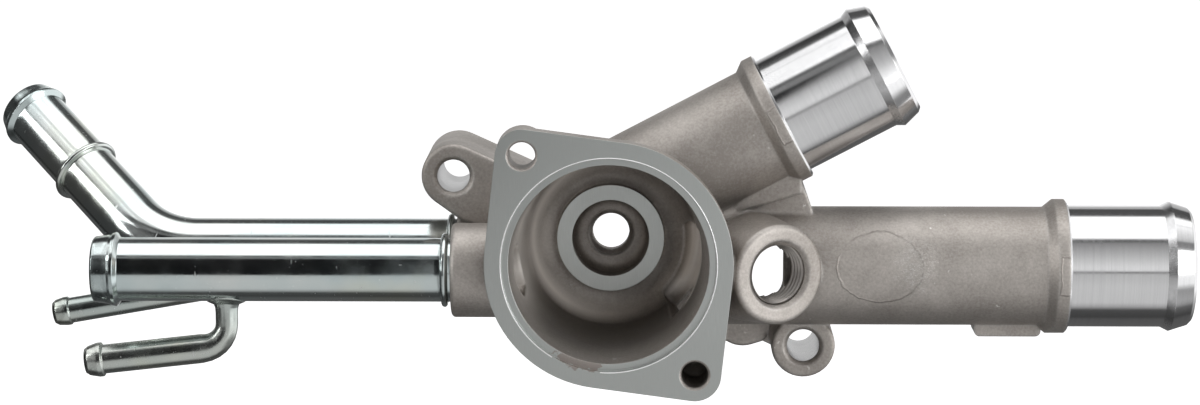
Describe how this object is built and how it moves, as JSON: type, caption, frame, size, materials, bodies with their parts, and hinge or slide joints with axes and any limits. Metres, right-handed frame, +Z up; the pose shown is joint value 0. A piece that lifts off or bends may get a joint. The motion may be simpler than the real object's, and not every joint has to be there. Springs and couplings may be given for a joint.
{
  "type": "coolant water outlet",
  "caption": "Cast aluminium coolant water outlet with a thermostat chamber, hose arms, a sensor boss and pressed-in plated steel heater tubes with small brazed side tubes.",
  "frame": {"origin": "centre of the round thermostat seat on the machined front face", "axes": "+X along the level hose arm, +Y from the front face to the engine, +Z up as in the picture"},
  "size_m": [0.3274, 0.0916, 0.1004],
  "materials": {
    "cast_aluminium": "fine cast skin, machined faces and turned necks",
    "plated_steel": "bright zinc plate"
  },
  "bodies": {
    "root": {"housing": "cast_aluminium", "front_tube": "plated_steel", "rear_tube": "plated_steel", "lower_small_tube": "plated_steel", "rear_small_tube": "plated_steel"}
  },
  "joints": []
}
